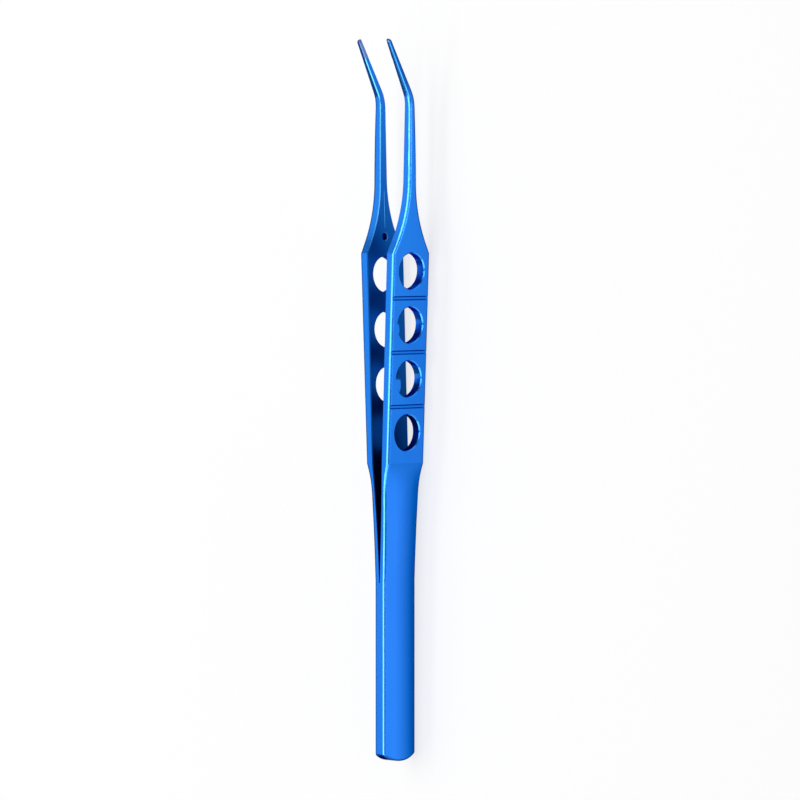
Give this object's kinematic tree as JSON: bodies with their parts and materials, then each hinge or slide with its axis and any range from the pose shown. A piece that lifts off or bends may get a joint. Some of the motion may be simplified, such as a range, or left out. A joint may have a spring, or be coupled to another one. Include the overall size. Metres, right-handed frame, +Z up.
{
  "type": "ophthalmic tissue forceps",
  "caption": "Spring forceps with perforated, grooved thumb plates on a solid tail bar, slim shanks, angled tips with fine serrated platforms, and a guide pin.",
  "frame": {"origin": "under the middle of the bounding box, on the surface the forceps lie on", "axes": "+Y from the tail to the tips, +Z up and the way the tips bend, +X the way the right arm opens"},
  "size_m": [0.0078, 0.11, 0.0098],
  "materials": {
    "anodised_titanium": null,
    "pin_metal": "plain turned metal"
  },
  "bodies": {
    "handle": {"handle": "anodised_titanium"},
    "left_arm": {"left_arm": "anodised_titanium"},
    "right_arm": {"right_arm": "anodised_titanium", "guide_pin": "pin_metal"}
  },
  "joints": [
    {"name": "right_arm_flex", "type": "hinge", "parent": "handle", "child": "right_arm", "pos_m": [0, -0.02759, 0.00381], "axis": [0, -0.0125, 0.9999], "range_deg": [0, 1.94], "stiffness_Nm_per_rad": 1.1},
    {"name": "left_arm_flex", "type": "hinge", "parent": "handle", "child": "left_arm", "pos_m": [0, -0.02759, 0.00381], "axis": [0, 0.0125, -0.9999], "range_deg": [0, 1.94], "stiffness_Nm_per_rad": 1.1}
  ],
  "couplings": [
    {"joint": "left_arm_flex", "follows": "right_arm_flex", "ratio": 1}
  ]
}
